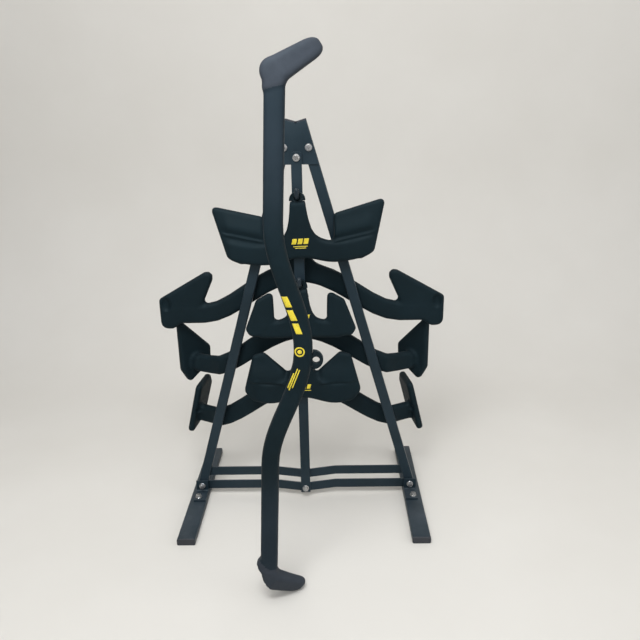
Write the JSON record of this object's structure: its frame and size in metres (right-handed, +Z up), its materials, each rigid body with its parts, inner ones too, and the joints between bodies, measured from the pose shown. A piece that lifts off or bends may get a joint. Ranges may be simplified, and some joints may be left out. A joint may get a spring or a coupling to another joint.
{
  "type": "a_frame_grip_rack",
  "caption": "A-frame floor rack of black steel tube with moulded cable-machine grips hung on its hooks and one long grip standing in front",
  "frame": {"origin": "floor, under the middle of the bounding box", "axes": "+Z up, -Y is the front where the long grip stands, +X to the right of someone who faces the rack"},
  "size_m": [0.722, 0.639, 1.1302],
  "materials": {
    "frame_black": "satin black powder coat",
    "eye_steel": "black coated steel plate",
    "zinc": "zinc plated fasteners",
    "grip_rubber": "matte moulded rubber",
    "plug_black": "black plastic"
  },
  "bodies": {
    "rack": {"left_foot": "frame_black", "right_foot": "frame_black", "foot_plugs": "plug_black", "left_leg": "frame_black", "right_leg": "frame_black", "leg_caps": "plug_black", "gusset_plate": "frame_black", "center_post": "frame_black", "lower_cross_bar": "frame_black", "upper_cross_bar": "frame_black", "left_foot_bracket": "frame_black", "right_foot_bracket": "frame_black", "front_hook_1": "frame_black", "front_hook_2": "frame_black", "front_hook_3": "frame_black", "back_hook_1": "frame_black", "back_hook_2": "frame_black", "back_hook_3": "frame_black", "washers": "zinc", "gusset_bolts": "zinc", "gusset_nuts": "zinc", "post_bolts": "zinc", "post_nuts": "zinc", "leg_bolts": "zinc", "leg_nuts": "zinc", "foot_bolts": "zinc", "foot_nuts": "zinc"},
    "top_close_grip": {"top_close_eye": "eye_steel", "top_close_cover": "grip_rubber"},
    "mid_close_grip": {"mid_close_eye": "eye_steel", "mid_close_cover": "grip_rubber"},
    "low_close_grip": {"low_close_eye": "eye_steel", "low_close_cover": "grip_rubber"},
    "high_medium_grip": {"high_medium_eye": "eye_steel", "high_medium_cover": "grip_rubber"},
    "mid_medium_grip": {"mid_medium_eye": "eye_steel", "mid_medium_cover": "grip_rubber"},
    "low_medium_grip": {"low_medium_eye": "eye_steel", "low_medium_cover": "grip_rubber"},
    "long_grip": {"long_grip_eye": "eye_steel", "long_grip_cover": "grip_rubber"}
  },
  "joints": [
    {"name": "top_close_swing", "type": "hinge", "parent": "rack", "child": "top_close_grip", "pos_m": [0, 0.0625, 0.82], "axis": [0, 1, 0], "range_deg": [-6, 6]},
    {"name": "mid_close_swing", "type": "hinge", "parent": "rack", "child": "mid_close_grip", "pos_m": [0, 0.0625, 0.61], "axis": [0, 1, 0], "range_deg": [-6, 6]},
    {"name": "low_close_swing", "type": "hinge", "parent": "rack", "child": "low_close_grip", "pos_m": [0, 0.0625, 0.456], "axis": [0, 1, 0], "range_deg": [-6, 6]},
    {"name": "high_medium_swing", "type": "hinge", "parent": "rack", "child": "high_medium_grip", "pos_m": [0, 0.1245, 0.717], "axis": [0, 1, 0], "range_deg": [-5, 5]},
    {"name": "mid_medium_swing", "type": "hinge", "parent": "rack", "child": "mid_medium_grip", "pos_m": [0, 0.1245, 0.567], "axis": [0, 1, 0], "range_deg": [-2.5, 2.5]},
    {"name": "low_medium_swing", "type": "hinge", "parent": "rack", "child": "low_medium_grip", "pos_m": [0, 0.1245, 0.418], "axis": [0, 1, 0], "range_deg": [-3, 3]},
    {"name": "long_grip_lift", "type": "slide", "parent": "rack", "child": "long_grip", "axis": [0, 0, 1], "range_m": [0, 0.3]}
  ]
}
